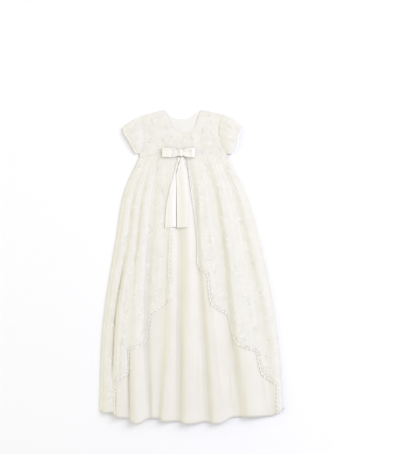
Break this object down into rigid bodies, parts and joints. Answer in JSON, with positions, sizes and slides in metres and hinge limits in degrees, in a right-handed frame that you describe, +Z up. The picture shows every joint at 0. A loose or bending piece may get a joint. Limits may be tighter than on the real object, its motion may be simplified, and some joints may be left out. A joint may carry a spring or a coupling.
{
  "type": "baby dress",
  "caption": "Long baby gown laid flat: lace bodice, puffed sleeves, satin skirt, stepped lace overskirt open at the front and a satin bow.",
  "frame": {"origin": "centre of the gown's plan box, on the surface that it lies on", "axes": "+Y from the hem to the neck, +X to the right across the front as seen from above, +Z up out of the front"},
  "size_m": [0.5256, 0.8921, 0.0222],
  "materials": {
    "lace": "embroidered ivory net",
    "satin": "ivory satin",
    "lining": "plain ivory lawn",
    "ribbon": "ivory satin ribbon"
  },
  "bodies": {
    "root": {"bodice_front": "lace", "bodice_back": "lace", "back_lining": "lining", "sleeve_left": "lace", "sleeve_right": "lace", "skirt_front": "satin", "skirt_back": "satin", "overskirt_left": "lace", "overskirt_right": "lace", "overskirt_back": "lace", "bow_knot": "ribbon", "bow_loop_left": "ribbon", "bow_loop_right": "ribbon", "bow_tail_left": "ribbon", "bow_tail_right": "ribbon"}
  },
  "joints": []
}
